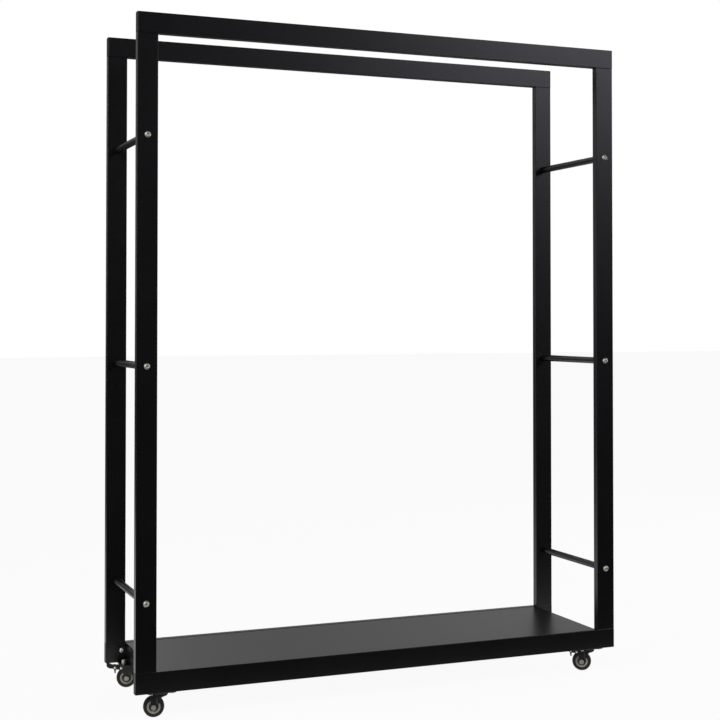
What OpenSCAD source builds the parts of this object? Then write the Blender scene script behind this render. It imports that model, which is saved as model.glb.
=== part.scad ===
// Rolling firewood rack: two upright tube frames joined by round side ties,
// a low base with a sheet floor, and four small swivel casters, two of them
// with a foot brake. The origin is on the floor under the middle of the rack,
// the front faces -Y and the height runs along +Z.

/* [Rack] */
// Height of the rack, from the floor to the top rail
rack_h = 1500; // [900:10:1800]
// Width over the posts
rack_w = 1168; // [700:2:1500]
// Depth over the front and back frames
rack_d = 320; // [250:2:450]

/* [Frame tube] */
// Wide side of the frame tube
tube_w = 45; // [36:1:60]
// Narrow side of the frame tube
tube_t = 18; // [15:0.5:26]
// Wall of the frame tube
tube_wall = 1.5; // [1:0.1:2]
// Outside corner radius of every square-edged tube
tube_r = 1.8; // [1.2:0.1:3]

/* [Side ties] */
// Outside diameter of the round side ties
tie_d = 16; // [14:0.5:24]
// Wall of the side ties
tie_wall = 1.5; // [1:0.1:2]
// Height of the lowest tie above the underside of the frame
tie_low_h = 190; // [120:5:260]
// Rise from the lowest tie to the middle one
tie_mid_rise = 500; // [300:5:560]
// Drop from the top of the frame to the upper tie
tie_top_drop = 262; // [150:2:340]
// Thread diameter of the tie bolts
tie_bolt_d = 8; // [6:1:8]
// Diameter of the domed head of a tie bolt
tie_head_d = 14; // [12:0.5:18]

/* [Base] */
// Height of the base bars
bar_h = 40; // [30:1:45]
// Width of the base bars
bar_w = 20; // [16:1:26]
// Gap from the end of the rack to the side face of an end bar
bar_inset = 46; // [44:1:60]
// Thickness of the angle brackets
bracket_t = 3; // [2:0.5:4]
// Thickness of the floor sheet
floor_t = 1.5; // [1:0.25:2]

/* [Casters] */
// Diameter of a wheel
wheel_d = 45; // [36:1:56]
// Width of a tyre
wheel_w = 17; // [13:1:22]
// Distance from the swivel axis back to the wheel centre
trail = 13; // [10:0.5:16]
// Distance from the end of the rack to a swivel axis
caster_inset_x = 59; // [56:1:75]
// Distance from the outer face of the rack to a swivel axis
caster_inset_y = 27; // [26:1:34]
// Length of the mounting plate, along the width of the rack
plate_l = 62; // [56:1:76]
// Width of the mounting plate
plate_w = 46; // [42:1:56]
// Diameter of a wheel axle
axle_d = 6; // [4:0.5:8]
// Swivel angle at which the front left fork stands; at 0 its wheel trails to the left
front_left_turn = -14; // [-180:1:180]
// Swivel angle of the front right fork
front_right_turn = -31; // [-180:1:180]
// Swivel angle of the back left fork
back_left_turn = -12; // [-180:1:180]
// Swivel angle of the back right fork
back_right_turn = -29; // [-180:1:180]

/* [Hidden] */

left = -1;
right = 1;
front = -1;
back = 1;
$fn = 48;
eps = 0.5;             // how far a cutter runs past the face it cuts

// Fits
run_fit = 0.05;        // radial clearance of a turning pin or bearing
bolt_fit = 0.25;       // radial clearance of a bolt in a drilled wall
plug_fit = 0.1;        // radial clearance of a push-in plug
side_play = 0.8;       // gap beside a wheel hub or a pedal

// Caster heights, upwards from the floor
tyre_gap = 2.2;        // from the tyre to the crown of the fork
fork_t = 2;            // sheet of the fork
race_h = 4.3;          // gap in which the swivel balls run
plate_t = 2.5;         // sheet of the mounting plate
crown_z = wheel_d + tyre_gap;
race_z = crown_z + fork_t;
plate_z = race_z + race_h;
frame_z = plate_z + plate_t;

// Frame
half_w = rack_w / 2;
half_d = rack_d / 2;
post_x = half_w - tube_w / 2;
frame_y = half_d - tube_t / 2;
inner_y = half_d - tube_t;
post_z = frame_z + tube_w;
post_top_z = rack_h - tube_w;
tie_low_z = frame_z + tie_low_h;
tie_mid_z = tie_low_z + tie_mid_rise;
tie_top_z = rack_h - tie_top_drop;

// End caps, plugs and inserts
cap_t = 1.5;
cap_depth = 9;
cap_wall = 1.5;
access_d = 13;
plug_depth = 4;
plug_wall = 1.2;
post_insert_h = 20;
tie_insert_l = 20;

// Bolts
m6_r = 3;
m6_head_r = 5.25;
m6_head_h = 2.3;
m6_crown_r = 3.2;
m6_socket = 4;
m6_long = 20;
m6_short = 13.5;
head_edge = 0.5;
tie_bolt_r = tie_bolt_d / 2;
tie_head_r = tie_head_d / 2;
tie_head_h = 4.4;
tie_crown_r = 3.7;
tie_socket = 5;
tie_bolt_l = tube_t + tie_insert_l - 4;
nut_r = 4.5;
nut_bulge_r = 5.2;
nut_bulge_h = 2.5;
nut_l = 11;

// Base
bar_x = half_w - bar_inset - bar_w / 2;
bar_z = frame_z + bracket_t;
floor_z = bar_z + bar_h;
bracket_leg = 48;
bracket_rise = 38;
bracket_spread = 23;                      // from the bar or swivel axis to a bolt
bracket_margin = 10;                      // metal left beyond a bracket bolt
bracket_bolt_z = frame_z + 28;
middle_leg = 32;
bar_bolt_y = inner_y - bracket_leg + 10;
middle_bolt_y = inner_y - middle_leg + 10;
floor_gap = 1;                            // from the floor sheet to the rails
lip_h = 14;
lip_gap = 8;                              // from a lip to the nearest bracket

// Casters
swivel_x = half_w - caster_inset_x;
swivel_y = half_d - caster_inset_y;
plate_r = 4;
plate_edge = 7;                           // from the plate's end to a bolt
plate_bolt_x = plate_l / 2 - plate_edge - 1;
plate_bolt_y = plate_w / 2 - plate_edge;
king_r = 4;
king_head_r = 7;
king_head_h = 1.8;
ball_r = race_h / 2 - run_fit;
ball_count = 12;
ball_ring_r = 13;
cup_r = ball_ring_r + ball_r + 0.5;
cup_wall = 1.5;
cup_h = race_h - 1;
cone_r = ball_ring_r - ball_r - 0.5;
cone_wall = 3;
cone_h = 2.2;
crown_r = cup_r + cup_wall;
wheel_r = wheel_d / 2;
tread_r = 3;                              // rounding of the tyre's shoulders
rim_r = wheel_r - 7;
web_r = rim_r - 5.7;
boss_r = axle_d / 2 + 2;
rim_half = wheel_w / 2 - 0.7;
web_half = 3;
hub_half = wheel_w / 2 + 1;
leg_y = hub_half + side_play;             // inner face of a fork leg
leg_foot_r = axle_d / 2 + 3.5;
axle_r = axle_d / 2;
axle_head_r = axle_r + 2.6;
axle_head_h = 3.5;

// Brake: places are from the wheel centre (along X) and from the floor (Z)
pivot_u = -wheel_r - 3.5;
pivot_z = crown_z + 0.3;
pivot_r = 2;
barrel_r = 3.6;
stop_u = -wheel_r + 10.5;
stop_z = crown_z - 1.4;
stop_r = 1.6;
rivet_r = 2.7;                            // head of a brake pin
rivet_h = 1;
ear_margin = 4.6;                         // metal round the pivot pin
pad_half = leg_y - side_play;
tip_half = pad_half + 2.5;
shoe_half = wheel_w / 2 - 1.5;

steel_black = "#1b1b1e";
steel_side = "#2b2b2f";
zinc = "#b9bcc0";
plastic_black = "#232326";
rubber_black = "#1d1c19";
hub_grey = "#8d8c86";

// ---------- shared shapes ----------

module on_side(side) {
    if (side == left) mirror([1, 0, 0]) children();
    else children();
}

module on_face(face) {
    if (face == front) mirror([0, 1, 0]) children();
    else children();
}

module at_corner(side, face) on_side(side) on_face(face) children();

module at_corners() for (side = [left, right], face = [front, back]) at_corner(side, face) children();

// Rectangle with round corners, centred
module round_rect(w, h, r) {
    square([w - 2 * r, h], center = true);
    square([w, h - 2 * r], center = true);
    for (x = [-1, 1], y = [-1, 1]) translate([x * (w / 2 - r), y * (h / 2 - r)]) circle(r = r);
}

// Rectangular tube that stands on the origin
module box_tube(w, t, wall, len) {
    linear_extrude(height = len) difference() {
        round_rect(w, t, tube_r);
        square([w - 2 * wall, t - 2 * wall], center = true);
    }
}

// Domed bolt with a hex socket: its head stands on the origin and its shank points down
module dome_bolt(shank_r, len, head_r, head_h, top_r, socket) {
    dome_z = (pow(top_r, 2) + pow(head_h, 2) - pow(head_r, 2) - pow(head_edge, 2))
        / (2 * (head_h - head_edge));
    dome_r = sqrt(pow(head_r, 2) + pow(head_edge - dome_z, 2));
    difference() {
        union() {
            intersection() {
                cylinder(r = head_r, h = head_h);
                translate([0, 0, dome_z]) sphere(r = dome_r);
            }
            translate([0, 0, -len]) cylinder(r = shank_r, h = len + eps);
        }
        translate([0, 0, head_h * 0.35]) cylinder(d = socket / cos(30), h = head_h, $fn = 6);
    }
}

module m6_bolt(len) dome_bolt(m6_r, len, m6_head_r, m6_head_h, m6_crown_r, m6_socket);

// Threaded rivet nut: its mouth is at the origin and its body points up
module rivet_nut(wall) {
    difference() {
        union() {
            cylinder(r = nut_r, h = nut_l);
            translate([0, 0, wall]) cylinder(r = nut_bulge_r, h = nut_bulge_h);
        }
        translate([0, 0, -eps]) cylinder(r = m6_r, h = nut_l + 2 * eps);
    }
}

// ---------- bolt places, one corner at +X +Y ----------

// Upright bolts and nuts of the caster plates: both rows, from the frame's underside
module at_plate_bolts() {
    for (x = [-plate_bolt_x, plate_bolt_x], y = [-plate_bolt_y, plate_bolt_y])
        translate([swivel_x + x, swivel_y + y, frame_z]) children();
}

// Bolts that hold a corner bracket to its rail, along +Y
module at_bracket_bolts() {
    for (x = [-plate_bolt_x, plate_bolt_x])
        translate([swivel_x + x, inner_y, bracket_bolt_z]) rotate([-90, 0, 0]) children();
}

// Bolts that hold a middle bracket to its rail, along +Y
module at_middle_bolts() {
    for (x = [-bracket_spread, bracket_spread])
        translate([x, inner_y, bracket_bolt_z]) rotate([-90, 0, 0]) children();
}

// ---------- frame ----------

module rail(face, z) {
    outer_z = z == frame_z ? frame_z : rack_h;
    on_face(face) difference() {
        translate([-half_w + cap_t, frame_y, z + tube_w / 2])
            rotate([0, 90, 0]) box_tube(tube_w, tube_t, tube_wall, rack_w - 2 * cap_t);
        for (x = [-post_x, post_x]) {
            translate([x, frame_y, z + tube_w / 4]) cylinder(r = m6_r + bolt_fit, h = tube_w);
            translate([x, frame_y, z - eps]) cylinder(r = m6_r + bolt_fit, h = tube_w);
            translate([x, frame_y, outer_z - tube_w / 4]) cylinder(d = access_d, h = tube_w / 2);
        }
        if (z == frame_z) {
            for (side = [left, right]) on_side(side) {
                at_plate_bolts() translate([0, 0, -eps]) cylinder(r = nut_r, h = tube_wall + 2 * eps);
                at_bracket_bolts() translate([0, 0, -eps]) cylinder(r = nut_r, h = tube_wall + 2 * eps);
            }
            at_middle_bolts() translate([0, 0, -eps]) cylinder(r = nut_r, h = tube_wall + 2 * eps);
        }
    }
}

module top_rail(face) color(steel_black) rail(face, post_top_z);

module bottom_rail(face) color(steel_black) rail(face, frame_z);

module post(side, face) color(steel_black) at_corner(side, face) difference() {
    translate([post_x, frame_y, post_z]) box_tube(tube_w, tube_t, tube_wall, post_top_z - post_z);
    for (z = [tie_low_z, tie_mid_z, tie_top_z])
        translate([post_x, inner_y - eps, z]) rotate([-90, 0, 0])
            cylinder(r = tie_bolt_r + bolt_fit, h = tube_t + 2 * eps);
}

module tie(side, z) color(steel_side) translate([side * post_x, -inner_y, z]) rotate([-90, 0, 0])
    difference() {
        cylinder(d = tie_d, h = 2 * inner_y);
        translate([0, 0, -eps]) cylinder(r = tie_d / 2 - tie_wall, h = 2 * inner_y + 2 * eps);
    }

module base_bar(x, y_end, bolt_y) color(steel_side) difference() {
    translate([x, y_end, bar_z + bar_h / 2]) rotate([90, 0, 0])
        box_tube(bar_w, bar_h, tube_wall, 2 * y_end);
    for (y = [-bolt_y, bolt_y])
        translate([x, y, bar_z - eps]) cylinder(r = nut_r, h = tube_wall + 2 * eps);
}

// Angle bracket against the inner face of the back rail, between two X values
module angle_bracket(x_low, x_high, leg) {
    translate([x_low, inner_y - bracket_t, frame_z]) cube([x_high - x_low, bracket_t, bracket_rise]);
    translate([x_low, inner_y - leg, frame_z]) cube([x_high - x_low, leg, bracket_t]);
}

module corner_bracket(side, face) color(steel_side) at_corner(side, face) difference() {
    reach = plate_bolt_x + bracket_margin;
    angle_bracket(swivel_x - reach, swivel_x + reach, bracket_leg);
    at_bracket_bolts() translate([0, 0, -bracket_t - eps])
        cylinder(r = m6_r + bolt_fit, h = bracket_t + 2 * eps);
    at_plate_bolts() translate([0, 0, -eps]) cylinder(r = nut_r, h = bracket_t + 2 * eps);
    translate([bar_x, bar_bolt_y, frame_z - eps]) cylinder(r = m6_r + bolt_fit, h = bracket_t + 2 * eps);
}

module middle_bracket(face) color(steel_side) on_face(face) difference() {
    reach = bracket_spread + bracket_margin;
    angle_bracket(-reach, reach, middle_leg);
    at_middle_bolts() translate([0, 0, -bracket_t - eps])
        cylinder(r = m6_r + bolt_fit, h = bracket_t + 2 * eps);
    translate([0, middle_bolt_y, frame_z - eps]) cylinder(r = m6_r + bolt_fit, h = bracket_t + 2 * eps);
}

module floor_panel() color(steel_side) {
    panel_x = half_w - bar_inset;
    panel_y = inner_y - floor_gap;
    lip_low = bracket_spread + bracket_margin + lip_gap;
    lip_high = swivel_x - plate_bolt_x - bracket_margin - lip_gap;
    translate([-panel_x, -panel_y, floor_z]) cube([2 * panel_x, 2 * panel_y, floor_t]);
    for (side = [left, right], face = [front, back]) at_corner(side, face)
        translate([lip_low, panel_y - floor_t, floor_z - lip_h])
            cube([lip_high - lip_low, floor_t, lip_h + floor_t]);
}

// ---------- fasteners and plastic parts of the frame ----------

module tie_bolts() color(zinc) at_corners() for (z = [tie_low_z, tie_mid_z, tie_top_z])
    translate([post_x, half_d, z]) rotate([-90, 0, 0])
        dome_bolt(tie_bolt_r, tie_bolt_l, tie_head_r, tie_head_h, tie_crown_r, tie_socket);

module corner_bolts() color(zinc) at_corners() {
    translate([post_x, frame_y, post_top_z + tube_wall]) m6_bolt(m6_long);
    translate([post_x, frame_y, post_z - tube_wall]) mirror([0, 0, 1]) m6_bolt(m6_long);
}

module base_bolts() color(zinc) {
    at_corners() {
        at_plate_bolts() translate([0, 0, -plate_t]) mirror([0, 0, 1]) m6_bolt(m6_short);
        at_bracket_bolts() translate([0, 0, -bracket_t]) mirror([0, 0, 1]) m6_bolt(m6_short);
        translate([bar_x, bar_bolt_y, frame_z]) mirror([0, 0, 1]) m6_bolt(m6_short);
    }
    for (face = [front, back]) on_face(face) {
        at_middle_bolts() translate([0, 0, -bracket_t]) mirror([0, 0, 1]) m6_bolt(m6_short);
        translate([0, middle_bolt_y, frame_z]) mirror([0, 0, 1]) m6_bolt(m6_short);
    }
}

module rivet_nuts() color(zinc) {
    at_corners() {
        at_plate_bolts() rivet_nut(bracket_t);
        at_bracket_bolts() rivet_nut(tube_wall);
        translate([bar_x, bar_bolt_y, bar_z]) rivet_nut(tube_wall);
    }
    for (face = [front, back]) on_face(face) {
        at_middle_bolts() rivet_nut(tube_wall);
        translate([0, middle_bolt_y, bar_z]) rivet_nut(tube_wall);
    }
}

module thread_inserts() color(zinc) at_corners() {
    for (z = [post_top_z - post_insert_h, post_z])
        translate([post_x, frame_y, z]) linear_extrude(height = post_insert_h) difference() {
            square([tube_w - 2 * tube_wall, tube_t - 2 * tube_wall], center = true);
            circle(r = m6_r);
        }
    for (z = [tie_low_z, tie_mid_z, tie_top_z])
        translate([post_x, inner_y - tie_insert_l, z]) rotate([-90, 0, 0]) difference() {
            cylinder(r = tie_d / 2 - tie_wall, h = tie_insert_l);
            translate([0, 0, -eps]) cylinder(r = tie_bolt_r, h = tie_insert_l + 2 * eps);
        }
}

// Push-in plugs, flush with the face round their hole
module hole_plug() difference() {
    translate([0, 0, -plug_depth]) cylinder(r = access_d / 2 - plug_fit, h = plug_depth);
    translate([0, 0, -plug_depth - eps])
        cylinder(r = access_d / 2 - plug_fit - plug_wall, h = plug_depth - tube_wall + eps);
}

module hole_plugs() color(plastic_black) at_corners() {
    translate([post_x, frame_y, rack_h]) hole_plug();
    translate([post_x, frame_y, frame_z]) mirror([0, 0, 1]) hole_plug();
}

module rail_end_caps() color(plastic_black) at_corners() {
    for (z = [frame_z, post_top_z])
        translate([half_w - cap_t - cap_depth, frame_y, z + tube_w / 2]) rotate([0, 90, 0]) {
            linear_extrude(height = cap_depth) difference() {
                square([tube_w - 2 * tube_wall, tube_t - 2 * tube_wall], center = true);
                square([tube_w - 2 * tube_wall - 2 * cap_wall, tube_t - 2 * tube_wall - 2 * cap_wall],
                       center = true);
            }
            translate([0, 0, cap_depth]) linear_extrude(height = cap_t) round_rect(tube_w, tube_t, tube_r);
        }
}

// ---------- casters: swivel axis at the origin, wheel trailing towards -X ----------

module at_swivel(side, face) translate([side * swivel_x, face * swivel_y, 0]) children();

function front_turn(side) = side == left ? front_left_turn : front_right_turn;

function back_turn(side) = side == left ? back_left_turn : back_right_turn;

// The same axis, for what swivels with the fork
module at_fork(side, face) at_swivel(side, face)
    rotate([0, 0, face == front ? front_turn(side) : back_turn(side)]) children();

module swivel_balls() color(zinc) for (side = [left, right], face = [front, back]) at_swivel(side, face)
    for (i = [0 : ball_count - 1]) rotate([0, 0, i * 360 / ball_count])
        translate([ball_ring_r, 0, race_z + race_h / 2]) sphere(r = ball_r);

module plate(side, face) color(plastic_black) at_swivel(side, face) difference() {
    union() {
        translate([0, 0, plate_z]) linear_extrude(height = plate_t) round_rect(plate_l, plate_w, plate_r);
        translate([0, 0, plate_z - cup_h]) difference() {
            cylinder(r = cup_r + cup_wall, h = cup_h + eps);
            translate([0, 0, -eps]) cylinder(r = cup_r, h = cup_h + eps);
        }
    }
    translate([0, 0, plate_z - eps]) cylinder(r = king_r, h = plate_t + 2 * eps);
    for (x = [-plate_bolt_x, plate_bolt_x], y = [-plate_bolt_y, plate_bolt_y])
        translate([x, y, plate_z - eps]) cylinder(r = m6_r + bolt_fit, h = plate_t + 2 * eps);
}

module king_pin(side, face) color(zinc) at_swivel(side, face) {
    translate([0, 0, crown_z - king_head_h - run_fit]) cylinder(r = king_head_r, h = king_head_h);
    translate([0, 0, crown_z - king_head_h]) cylinder(r = king_r, h = frame_z - crown_z + king_head_h);
}

// Outline of one fork leg; u runs from the wheel centre, v from the floor
module leg_outline(braked) {
    translate([0, wheel_r]) circle(r = leg_foot_r);
    polygon([
        [-leg_foot_r, wheel_r], [leg_foot_r, wheel_r], [leg_foot_r + 4.5, crown_z - 14],
        [leg_foot_r + 8, crown_z - 8], [trail + 9, crown_z - 3], [trail + 15, crown_z],
        [trail + 15, race_z], [-leg_foot_r - 2.5, race_z], [-leg_foot_r - 2, crown_z - 12],
    ]);
    if (braked) {
        translate([pivot_u, pivot_z]) circle(r = ear_margin);
        polygon([
            [pivot_u, pivot_z - ear_margin], [stop_u, crown_z - 6.5], [-leg_foot_r, crown_z - 13],
            [0, crown_z - 13], [0, race_z], [pivot_u + 2, race_z], [pivot_u, pivot_z],
        ]);
    }
}

module leg_plate(braked) translate([-trail, leg_y + fork_t, 0]) rotate([90, 0, 0])
    linear_extrude(height = fork_t) leg_outline(braked);

module fork(side, face, braked) color(plastic_black) at_fork(side, face) difference() {
    union() {
        for (turn = [0, 1]) mirror([0, turn, 0]) leg_plate(braked);
        translate([0, 0, crown_z]) {
            cylinder(r = crown_r, h = fork_t);
            translate([-trail - leg_foot_r - 2, -leg_y - fork_t, 0])
                cube([trail + leg_foot_r + 2 + 15, 2 * (leg_y + fork_t), fork_t]);
            cylinder(r = cone_r, h = fork_t + cone_h);
        }
    }
    translate([0, 0, crown_z - eps]) cylinder(r = king_r + run_fit, h = fork_t + cone_h + 2 * eps);
    translate([0, 0, race_z + eps]) cylinder(r = cone_r - cone_wall, h = cone_h);
    translate([-trail, 0, wheel_r]) rotate([90, 0, 0]) cylinder(r = axle_r, h = 4 * leg_y, center = true);
    if (braked) {
        translate([pivot_u - trail, 0, pivot_z]) rotate([90, 0, 0])
            cylinder(r = pivot_r, h = 4 * leg_y, center = true);
        translate([stop_u - trail, 0, stop_z]) rotate([90, 0, 0])
            cylinder(r = stop_r, h = 4 * leg_y, center = true);
    }
}

// Bolt through both legs, with its nut as a second solid
module axle_bolt(side, face) color(zinc) at_fork(side, face)
    translate([-trail, 0, wheel_r]) rotate([90, 0, 0]) {
    outer = leg_y + fork_t;
    translate([0, 0, -outer - axle_head_h - 1]) cylinder(r = axle_r, h = 2 * outer + axle_head_h + 1 + eps);
    translate([0, 0, outer]) cylinder(r = axle_head_r, h = axle_head_h);
    translate([0, 0, -outer - axle_head_h]) difference() {
        cylinder(r = axle_head_r, h = axle_head_h, $fn = 6);
        translate([0, 0, -eps]) cylinder(r = axle_r + run_fit, h = axle_head_h + 2 * eps);
    }
}

module tyre(side, face) color(rubber_black) at_fork(side, face) translate([-trail, 0, wheel_r])
    rotate([90, 0, 0]) rotate_extrude() difference() {
        translate([rim_r, 0]) intersection() {
            round_rect(2 * (wheel_r - rim_r), wheel_w, tread_r);
            translate([0, -wheel_w]) square([wheel_r, 2 * wheel_w]);
        }
    }

module hub(side, face) color(hub_grey) at_fork(side, face) translate([-trail, 0, wheel_r])
    rotate([90, 0, 0]) difference() {
        union() {
            translate([0, 0, -rim_half]) difference() {
                cylinder(r = rim_r, h = 2 * rim_half);
                translate([0, 0, -eps]) cylinder(r = web_r, h = 2 * rim_half + 2 * eps);
            }
            translate([0, 0, -web_half]) cylinder(r = web_r + eps, h = 2 * web_half);
            translate([0, 0, -hub_half]) cylinder(r = boss_r, h = 2 * hub_half);
        }
        cylinder(r = axle_r + run_fit, h = 4 * hub_half, center = true);
    }

// Slab across the wheel's plane: outline in u and v, centred on Y
module cross_slab(half) translate([0, half, 0]) rotate([90, 0, 0])
    linear_extrude(height = 2 * half) children();

module pedal(side, face) color(plastic_black) at_fork(side, face) translate([pivot_u - trail, 0, pivot_z])
    difference() {
        union() {
            cross_slab(pad_half) {
                circle(r = barrel_r);
                polygon([[0, 2.4], [-5, 3], [-9.5, 4.4], [-12, 2], [-9, -1.8], [-4, -2.6], [0, -2]]);
            }
            cross_slab(tip_half) polygon([
                [-7.5, 3.6], [-12, 5.2], [-16.5, 7.4], [-18.6, 7.6], [-19.6, 6.4], [-18.4, 3.6],
                [-15.6, 0.6], [-12, -1.4], [-8.6, -1.8],
            ]);
            cross_slab(shoe_half) polygon([
                [-2.6, -1], [2.6, -1], [2.2, -8], [2, -13.2], [-0.4, -14.2], [-1.6, -8],
            ]);
        }
        rotate([90, 0, 0]) cylinder(r = pivot_r + run_fit, h = 4 * leg_y, center = true);
    }

module brake_pin(r, u, z) translate([u - trail, 0, z]) rotate([90, 0, 0]) {
    outer = leg_y + fork_t;
    cylinder(r = r, h = 2 * outer, center = true);
    for (turn = [0, 1]) mirror([0, 0, turn]) translate([0, 0, outer]) cylinder(r = rivet_r, h = rivet_h);
}

module pedal_pins(side, face) color(zinc) at_fork(side, face) {
    brake_pin(pivot_r, pivot_u, pivot_z);
    brake_pin(stop_r, stop_u, stop_z);
}

// ---------- nodes ----------

top_rail(front);  // front_top_rail
top_rail(back);  // back_top_rail
bottom_rail(front);  // front_bottom_rail
bottom_rail(back);  // back_bottom_rail
post(left, front);  // front_left_post
post(right, front);  // front_right_post
post(left, back);  // back_left_post
post(right, back);  // back_right_post
tie(left, tie_low_z);  // left_lower_tie
tie(left, tie_mid_z);  // left_middle_tie
tie(left, tie_top_z);  // left_upper_tie
tie(right, tie_low_z);  // right_lower_tie
tie(right, tie_mid_z);  // right_middle_tie
tie(right, tie_top_z);  // right_upper_tie
base_bar(-bar_x, inner_y - bracket_t, bar_bolt_y);  // left_base_bar
base_bar(0, inner_y - bracket_t, middle_bolt_y);  // middle_base_bar
base_bar(bar_x, inner_y - bracket_t, bar_bolt_y);  // right_base_bar
corner_bracket(left, front);  // front_left_bracket
corner_bracket(right, front);  // front_right_bracket
corner_bracket(left, back);  // back_left_bracket
corner_bracket(right, back);  // back_right_bracket
middle_bracket(front);  // front_middle_bracket
middle_bracket(back);  // back_middle_bracket
floor_panel();
tie_bolts();
corner_bolts();
base_bolts();
thread_inserts();
rivet_nuts();
hole_plugs();
rail_end_caps();
swivel_balls();
plate(left, front);  // front_left_plate
king_pin(left, front);  // front_left_king_pin
fork(left, front, false);  // front_left_fork
axle_bolt(left, front);  // front_left_axle_bolt
tyre(left, front);  // front_left_tyre
hub(left, front);  // front_left_hub
plate(right, front);  // front_right_plate
king_pin(right, front);  // front_right_king_pin
fork(right, front, true);  // front_right_fork
axle_bolt(right, front);  // front_right_axle_bolt
tyre(right, front);  // front_right_tyre
hub(right, front);  // front_right_hub
pedal(right, front);  // front_right_pedal
pedal_pins(right, front);  // front_right_pedal_pins
plate(left, back);  // back_left_plate
king_pin(left, back);  // back_left_king_pin
fork(left, back, true);  // back_left_fork
axle_bolt(left, back);  // back_left_axle_bolt
tyre(left, back);  // back_left_tyre
hub(left, back);  // back_left_hub
pedal(left, back);  // back_left_pedal
pedal_pins(left, back);  // back_left_pedal_pins
plate(right, back);  // back_right_plate
king_pin(right, back);  // back_right_king_pin
fork(right, back, false);  // back_right_fork
axle_bolt(right, back);  // back_right_axle_bolt
tyre(right, back);  // back_right_tyre
hub(right, back);  // back_right_hub
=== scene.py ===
"""Looks of a rolling firewood rack: two tube frames, round ties, a low base and four casters."""

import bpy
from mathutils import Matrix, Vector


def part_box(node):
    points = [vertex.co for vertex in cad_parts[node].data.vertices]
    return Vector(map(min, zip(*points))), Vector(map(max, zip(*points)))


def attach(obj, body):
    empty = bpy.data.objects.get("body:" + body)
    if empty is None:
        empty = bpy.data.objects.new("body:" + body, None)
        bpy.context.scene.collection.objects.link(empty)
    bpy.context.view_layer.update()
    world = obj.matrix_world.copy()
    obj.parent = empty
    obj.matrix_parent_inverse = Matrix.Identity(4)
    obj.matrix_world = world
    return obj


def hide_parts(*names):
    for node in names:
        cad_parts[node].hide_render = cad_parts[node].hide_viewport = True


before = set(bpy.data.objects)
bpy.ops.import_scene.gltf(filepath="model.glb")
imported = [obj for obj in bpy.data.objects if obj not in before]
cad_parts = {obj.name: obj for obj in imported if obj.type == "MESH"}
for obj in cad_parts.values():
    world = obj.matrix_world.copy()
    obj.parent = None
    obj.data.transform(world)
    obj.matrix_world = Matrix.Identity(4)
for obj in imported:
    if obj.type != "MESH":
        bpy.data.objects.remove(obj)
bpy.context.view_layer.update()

import logging
import math
from dataclasses import dataclass, field
from enum import Enum

import bmesh
import bpy
import numpy as np

LOG = logging.getLogger("firewood_rack")
MM = 0.001
Node = bpy.types.Node
Tree = bpy.types.NodeTree


# ---------------------------------------------------------------- surfaces


class Facing(Enum):
    """Where the local Z axis of a turned part points, as the rows of its local X, Y and Z."""

    UP = ((1, 0, 0), (0, 1, 0), (0, 0, 1))
    FRONT = ((1, 0, 0), (0, 0, 1), (0, -1, 0))
    BACK = ((-1, 0, 0), (0, 0, 1), (0, 1, 0))
    RIGHT = ((0, 1, 0), (0, 0, 1), (1, 0, 0))
    LEFT = ((0, -1, 0), (0, 0, 1), (-1, 0, 0))


@dataclass
class Shell:
    """A closed surface: its points, its faces, and how much each point takes the worn tone: rubbed edges,
    painted shade in a hub's dish, a painted highlight on fork ribs.
    """

    points: np.ndarray
    faces: list[list[int]]
    wear_and_painted_light: np.ndarray

    def placed(self, origin: tuple[float, float, float], facing: Facing = Facing.UP) -> "Shell":
        """The same surface with its local axes turned to a facing and its origin moved.

        Args:
            origin: where the local origin goes, in metres.
            facing: where local Z points.

        Returns:
            A new shell.
        """
        turned = self.points @ np.array(facing.value, float)
        return Shell(turned + np.array(origin, float), self.faces, self.wear_and_painted_light)

    def swung(self, angle: float, origin: np.ndarray) -> "Shell":
        """The same surface turned about Z by an angle in radians, then moved to an origin."""
        c, s = math.cos(angle), math.sin(angle)
        turned = self.points @ np.array([[c, s, 0], [-s, c, 0], [0, 0, 1]])
        return Shell(turned + origin, self.faces, self.wear_and_painted_light)


def joined(shells: list[Shell]) -> Shell:
    """Several shells as one, each still closed by itself."""
    starts = np.cumsum([0] + [len(s.points) for s in shells[:-1]])
    faces = [[i + start for i in face] for s, start in zip(shells, starts.tolist()) for face in s.faces]
    return Shell(np.vstack([s.points for s in shells]), faces, np.concatenate([s.wear_and_painted_light for s in shells]))


def grid_faces(rows: int, cols: int, wrap_rows: bool = False) -> list[list[int]]:
    """Quads of a grid whose columns always close on themselves.

    Args:
        rows: number of rows.
        cols: number of columns.
        wrap_rows: whether the last row joins the first.

    Returns:
        Faces as lists of point numbers.
    """
    row = np.arange(rows if wrap_rows else rows - 1)[:, None]
    col = np.arange(cols)[None, :]
    up, across = (row + 1) % rows, (col + 1) % cols
    low, high = row * cols, up * cols
    quads = np.stack(np.broadcast_arrays(low + col, low + across, high + across, high + col), -1)
    return quads.reshape(-1, 4).tolist()


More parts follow.
